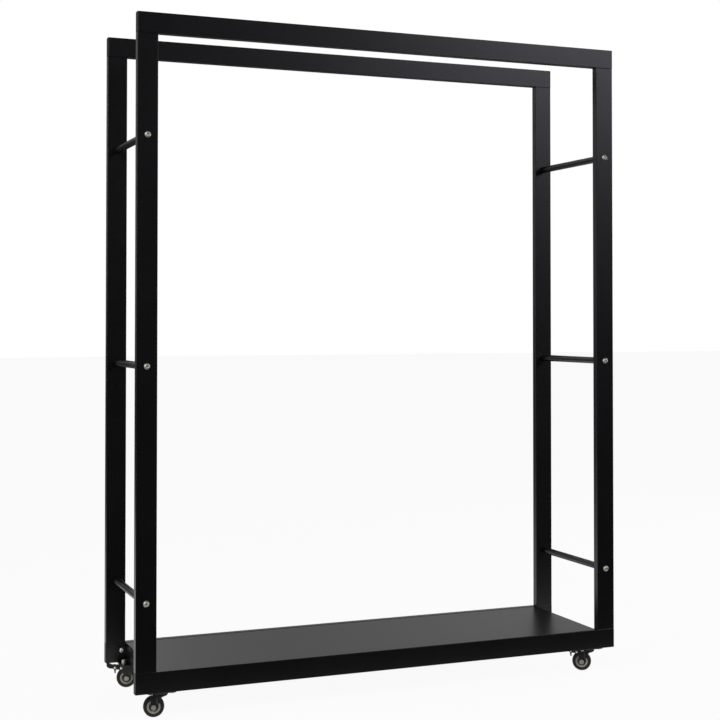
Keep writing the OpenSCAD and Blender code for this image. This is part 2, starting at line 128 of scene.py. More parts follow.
def round_outline(corners: np.ndarray, radii: np.ndarray, steps: int = 5) -> np.ndarray:
    """A polygon whose corners are arcs.

    Each arc is tangent to both sides of its corner: its centre lies on the bisector, at the radius
    divided by the sine of half the corner's angle, and it starts at the radius over that tangent.

    Args:
        corners: the polygon's points, in order, as an (n, 2) array.
        radii: one radius for each corner.
        steps: points on each arc.

    Returns:
        The outline's points.
    """
    before, after = np.roll(corners, 1, 0) - corners, np.roll(corners, -1, 0) - corners
    before /= np.linalg.norm(before, axis=1)[:, None]
    after /= np.linalg.norm(after, axis=1)[:, None]
    half = np.arccos(np.clip((before * after).sum(1), -1, 1)) / 2
    bisector = before + after
    bisector /= np.maximum(np.linalg.norm(bisector, axis=1), 1e-9)[:, None]
    centre = corners + bisector * (radii / np.sin(half))[:, None]
    start = corners + before * (radii / np.tan(half))[:, None] - centre
    end = corners + after * (radii / np.tan(half))[:, None] - centre
    turn = np.arctan2(start[:, 0] * end[:, 1] - start[:, 1] * end[:, 0], (start * end).sum(1))
    angle = np.linspace(0, 1, steps)[None, :] * turn[:, None]
    x = start[:, :1] * np.cos(angle) - start[:, 1:] * np.sin(angle) + centre[:, :1]
    y = start[:, :1] * np.sin(angle) + start[:, 1:] * np.cos(angle) + centre[:, 1:]
    return np.stack([x, y], -1).reshape(-1, 2)


def rectangle(width: float, height: float, radius: float, steps: int = 6) -> np.ndarray:
    """Outline of a centred rectangle with round corners, counter-clockwise."""
    w, h = width / 2, height / 2
    corners = np.array([[-w, -h], [w, -h], [w, h], [-w, h]])
    return round_outline(corners, np.full(4, radius), steps)


def inset(outline: np.ndarray, distance: np.ndarray) -> np.ndarray:
    """Outlines moved inwards, one for each distance.

    A point moves along the mean of its two side normals, further at a sharp corner, so that the
    sides themselves move by the distance.

    Args:
        outline: a counter-clockwise (n, 2) outline.
        distance: an (r,) array of distances.

    Returns:
        An (r, n, 2) array.
    """
    side = np.roll(outline, -1, 0) - outline
    side /= np.maximum(np.linalg.norm(side, axis=1), 1e-12)[:, None]
    normal = np.stack([-side[:, 1], side[:, 0]], -1)
    mean = normal + np.roll(normal, 1, 0)
    mean /= np.maximum((mean ** 2).sum(1) / 2, 0.5)[:, None]
    return outline[None] + mean[None] * distance[:, None, None]


def slab(outline: np.ndarray, low: float, high: float, edge: float, steps: int = 4) -> Shell:
    """A flat piece with rounded rims: an outline in X and Y carried from a low to a high Z.

    Each rim is a quarter circle: at angle a the outline is inset by the edge radius times one minus
    the cosine of a, and lies the edge radius times the sine of a beyond the straight side. The
    outline's own corners are rounder than the rim, so that no arc shrinks to a point.

    Args:
        outline: counter-clockwise (n, 2) outline.
        low: lowest Z.
        high: highest Z.
        edge: radius of the rims.
        steps: rows on each rim.

    Returns:
        A closed shell.
    """
    angle = np.linspace(0, math.pi / 2, steps)
    drop, rise = edge * (1 - np.cos(angle)), edge * np.sin(angle)
    distance = np.concatenate([drop[::-1], drop])
    z = np.concatenate([low + edge - rise[::-1], high - edge + rise])
    flat = inset(outline, distance)
    points = np.concatenate([flat, np.broadcast_to(z[:, None, None], flat.shape[:2] + (1,))], -1)
    rows, cols = flat.shape[:2]
    faces = grid_faces(rows, cols)
    faces += [list(range(cols))[::-1], list(range((rows - 1) * cols, rows * cols))]
    wear_and_painted_light = np.repeat(np.concatenate([np.sin(angle[::-1] * 2), np.sin(angle * 2)]), cols)
    return Shell(points.reshape(-1, 3), faces, wear_and_painted_light)


def lathe(radius: np.ndarray, height: np.ndarray, cols: int, edge: np.ndarray | None = None) -> Shell:
    """A surface turned about Z, closed by a point on the axis at each end.

    A point of row r and column c lies at the radius of that row, or of that row and column, at the
    angle of the column, and at the height of the row.

    Args:
        radius: (r,) or (r, cols) radii, all above 0.
        height: (r + 2,) heights: the first and the last are those of the two poles.
        cols: points round the axis.
        edge: (r,) wear of each row.

    Returns:
        A closed shell.
    """
    rows = len(radius)
    ring = np.broadcast_to(radius.reshape(rows, -1), (rows, cols))
    turn = np.arange(cols) * 2 * math.pi / cols
    z = np.broadcast_to(height[1:-1, None], (rows, cols))
    points = np.stack([ring * np.cos(turn), ring * np.sin(turn), z], -1).reshape(-1, 3)
    poles = np.array([[0, 0, height[0]], [0, 0, height[-1]]], float)
    first, last, col = rows * cols, rows * cols + 1, np.arange(cols)
    across = (col + 1) % cols
    low_fan = np.stack([across, col, np.full(cols, first)], -1).tolist()
    top = (rows - 1) * cols
    high_fan = np.stack([top + col, top + across, np.full(cols, last)], -1).tolist()
    wear_and_painted_light = np.repeat(np.zeros(rows) if edge is None else edge, cols)
    return Shell(np.vstack([points, poles]), grid_faces(rows, cols) + low_fan + high_fan,
                 np.append(wear_and_painted_light, [0, 0]))


def ring(section: np.ndarray, cols: int) -> Shell:
    """A closed (n, 2) section of radius and height, carried once round Z."""
    turn = (np.arange(cols) * 2 * math.pi / cols)[None, :]
    x, y = section[:, :1] * np.cos(turn), section[:, :1] * np.sin(turn)
    z = np.broadcast_to(section[:, 1:], x.shape)
    points = np.stack([x, y, z], -1).reshape(-1, 3)
    return Shell(points, grid_faces(len(section), cols, wrap_rows=True), np.zeros(len(points)))


def pipe(outer: np.ndarray, inner: np.ndarray, length: float, lip: float) -> Shell:
    """A hollow tube along Z: its outer skin, a rounded lip, its bore and the other lip, as one loop.

    Row by row the section goes up the outside, over the lip and down the bore: at the lip the two
    outlines step towards each other by the lip radius, and the length shortens by it.

    Args:
        outer: outside outline, an (n, 2) array.
        inner: bore outline with as many points.
        length: length along Z, centred.
        lip: radius of the rim.

    Returns:
        A closed shell.
    """
    half = length / 2
    angle = np.linspace(0, math.pi / 2, 4)
    drop, rise = lip * (1 - np.cos(angle)), lip * np.sin(angle)
    up = inset(outer, drop)
    end_z = half - lip + rise
    rows = [up[::-1], up, inset(inner, -drop)[::-1], inset(inner, -drop)]
    levels = [-end_z[::-1], end_z, end_z[::-1], -end_z]
    flat, z = np.concatenate(rows), np.concatenate(levels)
    points = np.concatenate([flat, np.broadcast_to(z[:, None, None], flat.shape[:2] + (1,))], -1)
    count, cols = flat.shape[:2]
    side = np.linalg.norm(np.roll(outer, -1, 0) - outer, axis=1)
    corner = (np.minimum(side, np.roll(side, 1)) < np.median(side) * 1.5).astype(float)
    wear_and_painted_light = np.zeros((count, cols))
    wear_and_painted_light[: len(up) * 2] = 0.6 * corner
    wear_and_painted_light[[0, len(up) * 2 - 1]] = 1
    return Shell(points.reshape(-1, 3), grid_faces(count, cols, wrap_rows=True), wear_and_painted_light.ravel())


def circle(radius: float, cols: int) -> np.ndarray:
    """A circle's points, counter-clockwise."""
    turn = np.arange(cols) * 2 * math.pi / cols
    return np.stack([radius * np.cos(turn), radius * np.sin(turn)], -1)


# ---------------------------------------------------------------- finishes


def linear(code: str, alpha: float = 1.0) -> tuple[float, float, float, float]:
    """An sRGB hex colour as linear RGBA."""
    value = np.array([int(code[i : i + 2], 16) for i in (1, 3, 5)]) / 255
    low, high = value / 12.92, ((value + 0.055) / 1.055) ** 2.4
    r, g, b = np.where(value <= 0.04045, low, high).tolist()
    return r, g, b, alpha


def add(tree: Tree, kind: str, values: dict | None = None, links: dict | None = None, **settings) -> Node:
    """Adds one node.

    Args:
        tree: the node tree.
        kind: Blender's name of the node type.
        values: socket name or number to its constant.
        links: socket name or number to the output socket that feeds it.
        **settings: the node's own properties.

    Returns:
        The node.
    """
    node = tree.nodes.new(kind)
    for name, value in settings.items():
        setattr(node, name, value)
    for socket, value in (values or {}).items():
        node.inputs[socket].default_value = value
    for socket, source in (links or {}).items():
        tree.links.new(source, node.inputs[socket])
    return node


def ramp(tree: Tree, source: bpy.types.NodeSocket, stops: list[tuple[float, tuple]]) -> bpy.types.NodeSocket:
    """A colour ramp through (place, colour) stops.

    Args:
        tree: the node tree.
        source: what drives the ramp.
        stops: two or more places from 0 to 1, each with an RGBA colour.

    Returns:
        The colour output.
    """
    node = add(tree, "ShaderNodeValToRGB", links={"Fac": source})
    elements = node.color_ramp.elements
    while len(elements) < len(stops):
        elements.new(0.5)
    for element, (place, colour) in zip(elements, stops):
        element.position = place
        element.color = colour
    return node.outputs["Color"]


def mixed(tree: Tree, first: bpy.types.NodeSocket, second: bpy.types.NodeSocket | tuple,
          share: bpy.types.NodeSocket) -> bpy.types.NodeSocket:
    """A colour with a second colour, an output or a constant, laid over it by a share."""
    node = add(tree, "ShaderNodeMix", links={0: share, 6: first}, data_type="RGBA")
    if isinstance(second, tuple):
        node.inputs[7].default_value = second
    else:
        tree.links.new(second, node.inputs[7])
    return node.outputs[2]


def grey(level: float) -> tuple[float, float, float, float]:
    """A grey that carries a plain number through a ramp."""
    return level, level, level, 1.0


@dataclass(frozen=True)
class Finish:
    """A surface finish: two close tones, a roughness band and a fine relief, all at real scale.

    Attributes:
        title: the material's name.
        dark, light: sRGB tones between which the colour drifts.
        worn_and_painted_light_tone: sRGB tone of rubbed edges; on the nylon hub it is painted shade in the
            dish, and on the electro coat it is also a painted highlight on the fork's ribs.
        metallic: 1 for bare metal.
        ior: index of refraction; a metal keeps the default.
        rough_low, rough_high: roughness band.
        drift_mm: size of the patches of tone.
        grain_mm: size of the relief's bumps.
        relief_mm: height of the relief.
        wear_and_painted_light: how strongly marked points take the worn tone, for rubbed edges and for
            painted light alike.
        stretch: how much longer the grain is along X, Y and Z, as divisors of the frequency.
        coat: strength of a clear coat.
    """

    title: str
    dark: str
    light: str
    worn_and_painted_light_tone: str
    metallic: float = 0.0
    ior: float = 1.5
    rough_low: float = 0.4
    rough_high: float = 0.5
    drift_mm: float = 90.0
    grain_mm: float = 1.6
    relief_mm: float = 0.02
    wear_and_painted_light: float = 0.4
    stretch: tuple[float, float, float] = (1.0, 1.0, 1.0)
    coat: float = 0.0

    def build(self) -> bpy.types.Material:
        """Makes the node material."""
        material = bpy.data.materials.new(self.title)
        material.use_nodes = True
        tree = material.node_tree
        tree.nodes.clear()
        place = add(tree, "ShaderNodeTexCoord").outputs["Object"]
        scaled = add(tree, "ShaderNodeMapping", {"Scale": tuple(1 / s for s in self.stretch)},
                     {"Vector": place})
        scaled = scaled.outputs["Vector"]
        patches = add(tree, "ShaderNodeTexNoise", {"Scale": 1 / (self.drift_mm * MM), "Detail": 4.0},
                      {"Vector": place})
        grain = add(tree, "ShaderNodeTexNoise", {"Scale": 1 / (self.grain_mm * MM), "Detail": 3.0},
                    {"Vector": scaled})
        tone = ramp(tree, patches.outputs["Fac"], [(0.32, linear(self.dark)), (0.68, linear(self.light))])
        # the wear attribute marks rubbed edges, and also painted shade in the hub's dish and a painted
        # highlight on the fork's ribs
        edge = add(tree, "ShaderNodeAttribute", attribute_name="wear_and_painted_light", attribute_type="GEOMETRY")
        rub_and_painted_light = add(tree, "ShaderNodeMath", {1: self.wear_and_painted_light}, {0: edge.outputs["Fac"]}, operation="MULTIPLY")
        broken = add(tree, "ShaderNodeMath", links={0: rub_and_painted_light.outputs[0], 1: patches.outputs["Fac"]},
                     operation="MULTIPLY")
        colour = mixed(tree, tone, linear(self.worn_and_painted_light_tone), broken.outputs[0])
        rough = ramp(tree, grain.outputs["Fac"], [(0.3, grey(self.rough_low)), (0.7, grey(self.rough_high))])
        bump = add(tree, "ShaderNodeBump", {"Strength": 1.0, "Distance": self.relief_mm * MM},
                   {"Height": grain.outputs["Fac"]})
        shader = add(tree, "ShaderNodeBsdfPrincipled",
                     {"Metallic": self.metallic, "IOR": self.ior, "Coat Weight": self.coat},
                     {"Base Color": colour, "Roughness": rough, "Normal": bump.outputs["Normal"]})
        add(tree, "ShaderNodeOutputMaterial", links={"Surface": shader.outputs["BSDF"]})
        return material



# Polyester powder coat, baked on steel: a satin black skin with fine orange peel
POWDER_COAT = Finish("satin_black_powder_coat", "#060608", "#09090c", "#18181b", ior=1.5,
                     rough_low=0.3, rough_high=0.37, drift_mm=120, grain_mm=2.2, relief_mm=0.02, wear_and_painted_light=0.4)
# Thin electro coat on pressed steel: smoother and a little glossier than the frame; its light grey worn tone
# marks rubbed rims, and is a painted highlight all over the fork's pressed ribs
ELECTRO_COAT = Finish("black_electro_coat", "#08080a", "#0d0d0f", "#6a6a6c", ior=1.42,
                      rough_low=0.28, rough_high=0.4, drift_mm=18, grain_mm=0.7, relief_mm=0.008, wear_and_painted_light=0.5)
# Bright zinc plate on bolts and rivets: warm silver with faint clouding
ZINC_PLATE = Finish("bright_zinc_plate", "#dedbd4", "#f1eee8", "#f8f6f2", metallic=1.0,
                    rough_low=0.48, rough_high=0.6, drift_mm=4, grain_mm=0.5, relief_mm=0.006, wear_and_painted_light=0.5)
# Aged zinc plate on axles and king pins: dull grey, rougher
DULL_ZINC = Finish("dull_zinc_plate", "#8d8c86", "#a3a19b", "#c4c2bc", metallic=1.0,
                   rough_low=0.45, rough_high=0.6, drift_mm=3, grain_mm=0.5, relief_mm=0.008, wear_and_painted_light=0.4)
# Moulded polyethylene of caps and plugs: matt, with a fine spark-eroded texture
POLYETHYLENE = Finish("moulded_black_polyethylene", "#121214", "#18181b", "#2c2c30", ior=1.5,
                      rough_low=0.5, rough_high=0.62, drift_mm=25, grain_mm=0.5, relief_mm=0.02, wear_and_painted_light=0.2)
# Moulded rubber tread: brown-black and matt, greyed a little where it rolls
TYRE_RUBBER = Finish("moulded_tyre_rubber", "#0d0c0a", "#151410", "#24221c", ior=1.5,
                     rough_low=0.55, rough_high=0.72, drift_mm=9, grain_mm=0.6, relief_mm=0.03, wear_and_painted_light=0.5)
# Grey nylon of the wheel centre: satin, slightly warm; its dark worn tone is painted shade in the recessed
# dish
HUB_NYLON = Finish("moulded_grey_nylon", "#9b9990", "#aaa89e", "#1b1a16", ior=1.53,
                   rough_low=0.4, rough_high=0.52, drift_mm=11, grain_mm=0.5, relief_mm=0.012, wear_and_painted_light=1.7)


class Paintbox:
    """Builds each finish once and hands out its material."""

    def __init__(self) -> None:
        """Starts empty."""
        self._made: dict[str, bpy.types.Material] = {}

    def get(self, finish: Finish) -> bpy.types.Material:
        """The material of a finish."""
        if finish.title not in self._made:
            self._made[finish.title] = finish.build()
        return self._made[finish.title]


PAINT = Paintbox()


def make_piece(name: str, shell: Shell, finish: Finish, body: str, slot: str,
               *nodes: str) -> bpy.types.Object:
    """Puts a shell into the scene as a piece.

    Args:
        name: the piece's name.
        shell: its surface, in the part's own frame.
        finish: its finish.
        body: the CAD body it rides on.
        slot: the record's material slot; not used.
        *nodes: the CAD nodes it stands for.

    Returns:
        The object, at the origin, with its place in its mesh.
    """
    mesh = bpy.data.meshes.new(name)
    mesh.from_pydata(shell.points.tolist(), [], shell.faces)
    mesh.attributes.new("wear_and_painted_light", "FLOAT", "POINT").data.foreach_set("value", shell.wear_and_painted_light.astype(np.float32))
    outward = bmesh.new()
    outward.from_mesh(mesh)
    bmesh.ops.recalc_face_normals(outward, faces=outward.faces[:])
    outward.to_mesh(mesh)
    outward.free()
    mesh.shade_smooth()
    mesh.set_sharp_from_angle(angle=math.radians(38))
    mesh.materials.append(PAINT.get(finish))
    piece = bpy.data.objects.new(name, mesh)
    bpy.context.scene.collection.objects.link(piece)
    flat_faces = piece.modifiers.new("flat_faces", "WEIGHTED_NORMAL")
    flat_faces.keep_sharp = True
    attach(piece, body)
    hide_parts(*nodes)
    LOG.info("%s: %d points on %s", name, len(shell.points), body)
    return piece


def dress_node(node: str, finish: Finish) -> None:
    """Gives a carried-over CAD node its finish."""
    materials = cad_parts[node].data.materials
    materials.clear()
    materials.append(PAINT.get(finish))
    LOG.info("%s: CAD node dressed in %s", node, finish.title)


def extent(node: str) -> tuple[np.ndarray, np.ndarray]:
    """Lowest corner and size of a CAD node."""
    low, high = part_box(node)
    return np.array(low), np.array(high) - np.array(low)


def middle(node: str) -> np.ndarray:
    """Centre of a CAD node's box."""
    low, size = extent(node)
    return low + size / 2


# ---------------------------------------------------------------- frame


@dataclass
class TubeFrame:
    """Posts, rails and base bars: rectangular tube with round corners."""

    corner: float = 1.2 * MM
    wall: float = 1.5 * MM
    lip: float = 0.7 * MM
    uprights: tuple[str, ...] = ("front_left_post", "front_right_post", "back_left_post", "back_right_post")
    lengthways: tuple[str, ...] = ("front_top_rail", "back_top_rail", "front_bottom_rail", "back_bottom_rail")
    crossways: tuple[str, ...] = ("left_base_bar", "middle_base_bar", "right_base_bar")

    def tube(self, node: str, facing: Facing) -> Shell:
        """One tube with the box of its CAD node.

        Args:
            node: the CAD node.
            facing: the tube's long direction.

        Returns:
            Its shell.
        """
        _, size = extent(node)
        x, y, z = np.abs(np.array(facing.value, float) @ size)
        outer = rectangle(x, y, self.corner)
        inner = rectangle(x - 2 * self.wall, y - 2 * self.wall, self.corner / 4)
        return pipe(outer, inner, z, self.lip).placed(tuple(middle(node)), facing)

    def build(self) -> None:
        """Makes every tube."""
        runs = ((self.uprights, Facing.UP), (self.lengthways, Facing.RIGHT), (self.crossways, Facing.BACK))
        for names, facing in runs:
            for node in names:
                make_piece(f"{node}_tube", self.tube(node, facing), POWDER_COAT, "rack",
                           "black_powder_coat", node)


@dataclass
class SideTies:
    """Round ties between the front and back posts, and the domed bolts that hold them."""

    wall: float = 1.5 * MM
    lip: float = 0.4 * MM
    head_radius: float = 7 * MM
    head_height: float = 4.4 * MM
    head_edge: float = 0.5 * MM
    crown_radius: float = 3.7 * MM
    socket: float = 5 * MM
    socket_depth: float = 2.7 * MM
    shank_radius: float = 4 * MM
    shank_length: float = 34 * MM
    columns: int = 72

    def bolt(self) -> Shell:
        """A button-head bolt with a hexagonal socket, its head standing on the origin.

        The head's rows follow a circle of revolution from the rim to the crown. Below the crown the
        radius at an angle is half the socket's width over the cosine of the angle to the nearest flat.

        Returns:
            A closed shell.
        """
        top, rim, high, edge = self.crown_radius, self.head_radius, self.head_height, self.head_edge
        dome_z = (top**2 + high**2 - rim**2 - edge**2) / (2 * (high - edge))
        dome_r = math.hypot(rim, edge - dome_z)
        rise = np.linspace(edge, high - 0.12 * MM, 9)
        dome = np.sqrt(dome_r**2 - (rise - dome_z) ** 2)
        turn = np.arange(self.columns) * 2 * math.pi / self.columns
        flat = (turn + math.pi / 6) % (math.pi / 3) - math.pi / 6
        hexagon = self.socket / 2 / np.cos(flat)
        plain = np.array([self.shank_radius - 0.6 * MM, self.shank_radius, self.shank_radius,
                          rim - 0.15 * MM, rim])
        round_rows = np.concatenate([plain, dome, [top - 0.25 * MM, self.socket / 2 * 1.17]])
        depth = high - self.socket_depth
        radius = np.vstack([np.repeat(round_rows[:, None], self.columns, 1), hexagon, hexagon,
                            hexagon * 0.93])
        low = -self.shank_length
        height = np.concatenate([
            [low, low, low + 0.6 * MM, -0.01 * MM, 0.0, 0.12 * MM], rise,
            [high, high - 0.15 * MM, high - 0.5 * MM, depth + 0.1 * MM, depth, depth - 0.9 * MM],
        ])
        wear_and_painted_light = np.zeros(len(radius))
        wear_and_painted_light[[4, 13, 14, 15]] = 1
        return lathe(radius, height, self.columns, wear_and_painted_light)

    def build(self) -> None:
        """Makes six ties and one piece with all twelve bolts."""
        bolt = self.bolt()
        bolts: list[Shell] = []
        for side in ("left", "right"):
            for level in ("lower", "middle", "upper"):
                node = f"{side}_{level}_tie"
                centre, (_, size) = middle(node), extent(node)
                outer, inner = circle(size[0] / 2, 48), circle(size[0] / 2 - self.wall, 48)
                tie = pipe(outer, inner, size[1], self.lip).placed(tuple(centre), Facing.BACK)
                make_piece(f"{node}_tube", tie, POWDER_COAT, "rack", "black_powder_coat", node)
                front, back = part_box(f"front_{side}_post")[0].y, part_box(f"back_{side}_post")[1].y
                bolts.append(bolt.placed((centre[0], front, centre[2]), Facing.FRONT))
                bolts.append(bolt.placed((centre[0], back, centre[2]), Facing.BACK))
        make_piece("tie_bolt_set", joined(bolts), ZINC_PLATE, "rack", "zinc_plate", "tie_bolts")


@dataclass
class RailCaps:
    """Moulded caps pushed into the rail ends."""

    flange: float = 1.5 * MM
    corner: float = 1.8 * MM
    pillow: float = 0.7 * MM
    plug_wall: float = 1.5 * MM
    tube_wall: float = 1.5 * MM
    plug_depth: float = 9 * MM

    def build(self) -> None:
        """Makes the eight caps as one piece."""
        shells = []
        for rail in ("front_top_rail", "back_top_rail", "front_bottom_rail", "back_bottom_rail"):
            low, size = extent(rail)
            centre = middle(rail)
            plug_y, plug_z = size[1] - 2 * self.tube_wall, size[2] - 2 * self.tube_wall
            face = slab(rectangle(size[1], size[2], self.corner), 0, self.flange, self.pillow, 5)
            outer = rectangle(plug_y - 0.2 * MM, plug_z - 0.2 * MM, 0.6 * MM)
            inner = rectangle(plug_y - 2 * self.plug_wall, plug_z - 2 * self.plug_wall, 0.4 * MM)
            plug = pipe(outer, inner, self.plug_depth, 0.3 * MM)
            for end, facing in ((low[0], Facing.LEFT), (low[0] + size[0], Facing.RIGHT)):
                inward = -self.plug_depth / 2 if facing is Facing.RIGHT else self.plug_depth / 2
                shells.append(face.placed((end, centre[1], centre[2]), facing))
                shells.append(plug.placed((end + inward, centre[1], centre[2]), facing))
        make_piece("rail_end_cap_set", joined(shells), POLYETHYLENE, "rack", "black_polyethylene",
                   "rail_end_caps")


# ---------------------------------------------------------------- base


@dataclass
class Base:
    """Angle brackets and the folded floor sheet."""

    sheet: float = 1.5 * MM
    plate: float = 3 * MM
    fold: float = 2.5 * MM
    rim: float = 0.4 * MM
    corner: float = 0.8 * MM

    def angle(self, node: str, face: str) -> Shell:
        """An angle bracket with a rounded fold, standing against the inside of a rail.

        Its section is an L in Y and Z with a round inner and outer corner, carried along X.

        Args:
            node: the CAD bracket.
            face: "front" or "back", the rail it stands on.

        Returns:
            Its shell.
        """
        low, size = extent(node)
        leg, rise, t = size[1], size[2], self.plate
        corners = np.array([[0, 0], [leg, 0], [leg, t], [t, t], [t, rise], [0, rise]])
        radii = np.array([self.fold + 0.5 * t, self.corner, self.corner, self.fold, self.corner, self.corner])
        section = round_outline(corners, radii, 6)
        shell = slab(section, 0, size[0], self.rim, 3)
        y, z, x = shell.points.T
        side = 1 if face == "front" else -1
        start = low[1] if face == "front" else low[1] + size[1]
        shell.points = np.stack([low[0] + x, start + side * y, low[2] + z], -1)
        return shell

    def floor(self) -> Shell:
        """The floor sheet: a flat plate, and four folded lips under its long edges."""
        low, size = extent("floor_panel")
        centre = middle("floor_panel")
        top = low[2] + size[2]
        outline = rectangle(size[0], size[1], 3 * MM) + centre[:2]
        shells = [slab(outline, top - self.sheet, top, self.rim, 4)]
        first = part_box("front_middle_bracket")[1].x + 8 * MM
        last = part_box("front_right_bracket")[0].x - 8 * MM
        depth = size[2] - self.sheet / 2
        for x_low, x_high in ((first, last), (-last, -first)):
            for y in (low[1] + self.sheet / 2, low[1] + size[1] - self.sheet / 2):
                lip = rectangle(x_high - x_low, self.sheet, 0.6 * MM) + np.array([(x_low + x_high) / 2, y])
                shells.append(slab(lip, top - self.sheet / 2 - depth, top - self.sheet / 2, self.rim, 3))
        return joined(shells)

    def build(self) -> None:
        """Makes the brackets and the floor."""
        for face in ("front", "back"):
            for place in ("left", "right", "middle"):
                node = f"{face}_{place}_bracket"
                make_piece(f"{node}_angle", self.angle(node, face), POWDER_COAT, "rack",
                           "black_powder_coat", node)
        make_piece("floor_sheet", self.floor(), POWDER_COAT, "rack", "black_powder_coat", "floor_panel")


# ---------------------------------------------------------------- casters


@dataclass
class Caster:
    """One swivel caster, with or without a foot brake.

    All but the plate is drawn about the wheel's centre, with X towards the swivel axis, Y along the
    axle and Z up, and then swung to the fork's own heading.
    """

    corner: str
    braked: bool
    sheet: float = 2 * MM
    leg_gap: float = 10.3 * MM
    foot: float = 6.5 * MM
    rim: float = 0.5 * MM
    axle: float = 3 * MM
    nut: float = 5.6 * MM
    tread: float = 7.7 * MM
    tyre_width: float = 17 * MM
    hub_half: float = 9.5 * MM
    columns: int = 96
    wheel: np.ndarray = field(init=False)
    swivel: np.ndarray = field(init=False)
    radius: float = field(init=False)
    trail: float = field(init=False)
    heading: float = field(init=False)

    def __post_init__(self) -> None:
        """Takes the wheel centre, the swivel axis and the heading from the CAD boxes."""
        self.wheel = middle(self._name("tyre"))
        self.swivel = middle(self._name("plate"))
        self.radius = extent(self._name("tyre"))[1][2] / 2
        along = self.swivel - self.wheel
        self.trail = math.hypot(along[0], along[1])
        self.heading = math.atan2(along[1], along[0])

    def _name(self, part: str) -> str:
        """The full name of one of this caster's parts."""
        return f"{self.corner}_{part}"

    def mounted(self, shells: list[Shell]) -> Shell:
        """Shells drawn about the wheel's centre, swung to the fork's heading and put in place."""
        return joined(shells).swung(self.heading, self.wheel)

    def upright(self, outline: np.ndarray, y_low: float, y_high: float, edge: float) -> Shell:
        """A slab in the wheel's plane: the outline's X and Z are from the wheel centre.

        Args:
            outline: (n, 2) outline of X and Z.
            y_low: nearest Y, from the wheel centre.
            y_high: furthest Y.
            edge: rim radius.

        Returns:
            Its shell, about the wheel centre.
        """
        shell = slab(outline, y_low, y_high, edge, 4)
        u, v, w = shell.points.T
        shell.points = np.stack([u, w, v], -1)
        return shell

    def leg_outline(self, crown: float) -> np.ndarray:
        """Outline of a fork leg from the wheel centre, with ears for the brake pins if it has them.

        Args:
            crown: height of the crown's top above the wheel centre.

        Returns:
            An (n, 2) outline of X and Z.
        """
        foot, mm, nose = self.foot, MM, self.trail + 15 * MM
        front = [
            [-foot, -foot], [foot, -foot], [foot + 3.2 * mm, crown - 20 * mm],
            [foot + 8.5 * mm, crown - 12 * mm],
            [foot + 10.5 * mm, crown - 6 * mm], [nose, crown - 2 * mm], [nose, crown],
        ]
        round_front = [foot * 0.98, foot * 0.98, 9 * mm, 6 * mm, 3 * mm, 0.8 * mm, 0.6 * mm]
        if not self.braked:
            back, round_back = [[-foot, crown]], [0.8 * mm]
        else:
            tail = -self.radius - 8.1 * mm
            back = [
                [-foot - 2.5 * mm, crown], [-self.radius - 1 * mm, crown + 0.4 * mm],
                [tail, crown + 3.4 * mm],
                [tail, crown - 5.2 * mm], [-self.radius + 9 * mm, crown - 7.2 * mm], [-foot, crown - 16 * mm],
            ]
            round_back = [0.6 * mm, 3 * mm, 3.6 * mm, 3.6 * mm, 6 * mm, 6 * mm]
        return round_outline(np.array(front + back), np.array(round_front + round_back), 7)

    def fork(self) -> Shell:
        """The pressed fork: two legs with two stiffening ribs each, a bridge, a crown and a race ring."""
        crown_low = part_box(self._name("king_pin"))[0].z + 1.85 * MM - self.wheel[2]
        outline = self.leg_outline(crown_low + self.sheet)
        outer = self.leg_gap + self.sheet
        ribs = [
            rectangle(2.7 * MM, 15 * MM, 1.2 * MM) + np.array([6.9, 15.0]) * MM,
            rectangle(2.0 * MM, 8 * MM, 0.9 * MM) + np.array([13.4, 19.3]) * MM,
        ]
        shells = []
        for side in (-1, 1):
            y_low, y_high = sorted((side * self.leg_gap, side * outer))
            shells.append(self.upright(outline, y_low, y_high, self.rim))
            y_low, y_high = sorted((side * (outer - 0.3 * MM), side * (outer + 0.8 * MM)))
            pressed = [self.upright(rib, y_low, y_high, 0.7 * MM) for rib in ribs]
            # painted highlight: each pressed rib takes the light grey worn tone all over
            for rib in pressed:
                rib.wear_and_painted_light = np.full(len(rib.points), 1.6)
            shells += pressed
        crown = circle(17.1 * MM, 64) + np.array([self.trail, 0])
        shells.append(slab(crown, crown_low, crown_low + self.sheet, self.rim))
        bridge = rectangle(34.2 * MM, 2 * outer, 2 * MM) + np.array([self.trail - 2.1 * MM, 0])
        shells.append(slab(bridge, crown_low, crown_low + self.sheet, self.rim))
        race = np.array([[4.1, 0.2], [10.2, 0.2], [10.35, 2.6], [9.6, 4.1], [7.6, 4.1], [7.4, 2.1],
                         [4.1, 2.0]]) * MM
        shells.append(ring(race, 64).placed((self.trail, 0, crown_low)))
        return self.mounted(shells)

    def tyre(self) -> Shell:
        """The tyre: a crowned tread, round shoulders and a moulding line on each side.

        The section's outer edge drops with the square of the distance from the middle.
        """
        r, w, rim = self.radius, self.tyre_width / 2, self.radius - self.tread
        across = np.linspace(-1, 1, 21)
        tread = np.stack([r - 0.5 * MM * across**2, across * (w - 2.6 * MM)], -1)
        angle = np.linspace(0, math.pi / 2, 7)[1:]
        right = np.stack([r - 3.1 * MM + 2.6 * MM * np.cos(angle),
                          w - 2.6 * MM + 2.6 * MM * np.sin(angle)], -1)
        groove = np.array([[r - 4.2 * MM, w], [r - 4.5 * MM, w - 0.35 * MM], [r - 4.8 * MM, w],
                           [rim, w - 0.2 * MM]])
        half = np.vstack([right, groove])
        section = np.vstack([tread, half, (half * np.array([1, -1]))[::-1]])
        shell = ring(section, self.columns)
        shell.wear_and_painted_light = np.repeat(np.exp(-((section[:, 0] - r) / (0.8 * MM)) ** 2), self.columns) * 0.8
        return self.mounted([shell.placed((0, 0, 0), Facing.FRONT)])

